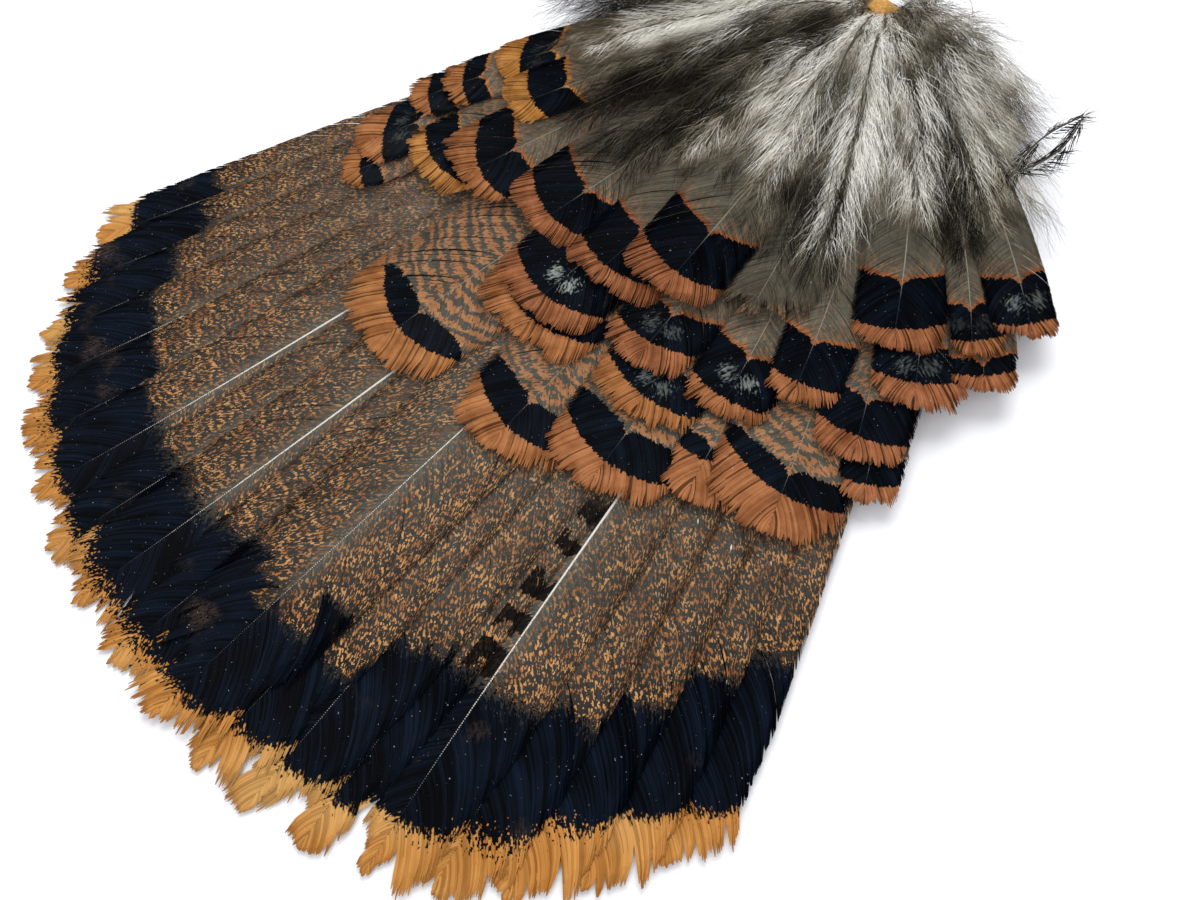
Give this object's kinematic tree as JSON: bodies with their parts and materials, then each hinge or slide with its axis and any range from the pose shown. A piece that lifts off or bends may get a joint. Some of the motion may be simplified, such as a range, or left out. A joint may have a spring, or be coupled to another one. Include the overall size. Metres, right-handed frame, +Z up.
{
  "type": "turkey tail fan",
  "caption": "Dried turkey tail spread as a fan: long mottled feathers with black bands and tan tips, rust-fringed coverts and downy feathers over a flat-bottomed root.",
  "frame": {"origin": "on the flat underside of the tail root, below the point that the quills fan out from", "axes": "+Z up from the surface it lies on, -Y along the middle of the fan towards its tips, +X to the right seen from above with the tips down the page"},
  "size_m": [0.3631, 0.4042, 0.0442],
  "materials": {
    "tail_vane": "keratin vane, brown and black mottled, blue-black band, tan tip, satin",
    "covert_vane": "keratin vane, brown mottled with black band and rust fringe, satin",
    "rump_vane": "keratin vane, olive grey with navy band and rust fringe, soft sheen",
    "down": "loose grey-brown down, matt",
    "dried_skin": "dried skin and fat, amber, half gloss"
  },
  "bodies": {
    "root": {"tail_root": "dried_skin", "tail_feather_01": "tail_vane", "tail_feather_02": "tail_vane", "tail_feather_03": "tail_vane", "tail_feather_04": "tail_vane", "tail_feather_05": "tail_vane", "tail_feather_06": "tail_vane", "tail_feather_07": "tail_vane", "tail_feather_08": "tail_vane", "tail_feather_09": "tail_vane", "tail_feather_10": "tail_vane", "tail_feather_11": "tail_vane", "tail_feather_12": "tail_vane", "tail_feather_13": "tail_vane", "tail_feather_14": "tail_vane", "tail_feather_15": "tail_vane", "tail_feather_16": "tail_vane", "tail_feather_17": "tail_vane", "tail_feather_18": "tail_vane", "greater_covert_01": "covert_vane", "greater_covert_02": "covert_vane", "greater_covert_03": "covert_vane", "greater_covert_04": "covert_vane", "greater_covert_05": "covert_vane", "greater_covert_06": "covert_vane", "greater_covert_07": "covert_vane", "median_covert_01": "covert_vane", "median_covert_02": "covert_vane", "median_covert_03": "covert_vane", "median_covert_04": "covert_vane", "median_covert_05": "covert_vane", "lesser_covert_01": "covert_vane", "lesser_covert_02": "covert_vane", "lesser_covert_03": "covert_vane", "lesser_covert_04": "covert_vane", "lesser_covert_05": "covert_vane", "lesser_covert_06": "covert_vane", "lesser_covert_07": "covert_vane", "rump_feather_01": "rump_vane", "rump_feather_02": "rump_vane", "rump_feather_03": "rump_vane", "rump_feather_04": "rump_vane", "rump_feather_05": "rump_vane", "rump_feather_06": "rump_vane", "rump_feather_07": "rump_vane", "rump_feather_08": "rump_vane", "upper_rump_feather_01": "rump_vane", "upper_rump_feather_02": "rump_vane", "upper_rump_feather_03": "rump_vane", "rump_down": "down"}
  },
  "joints": []
}
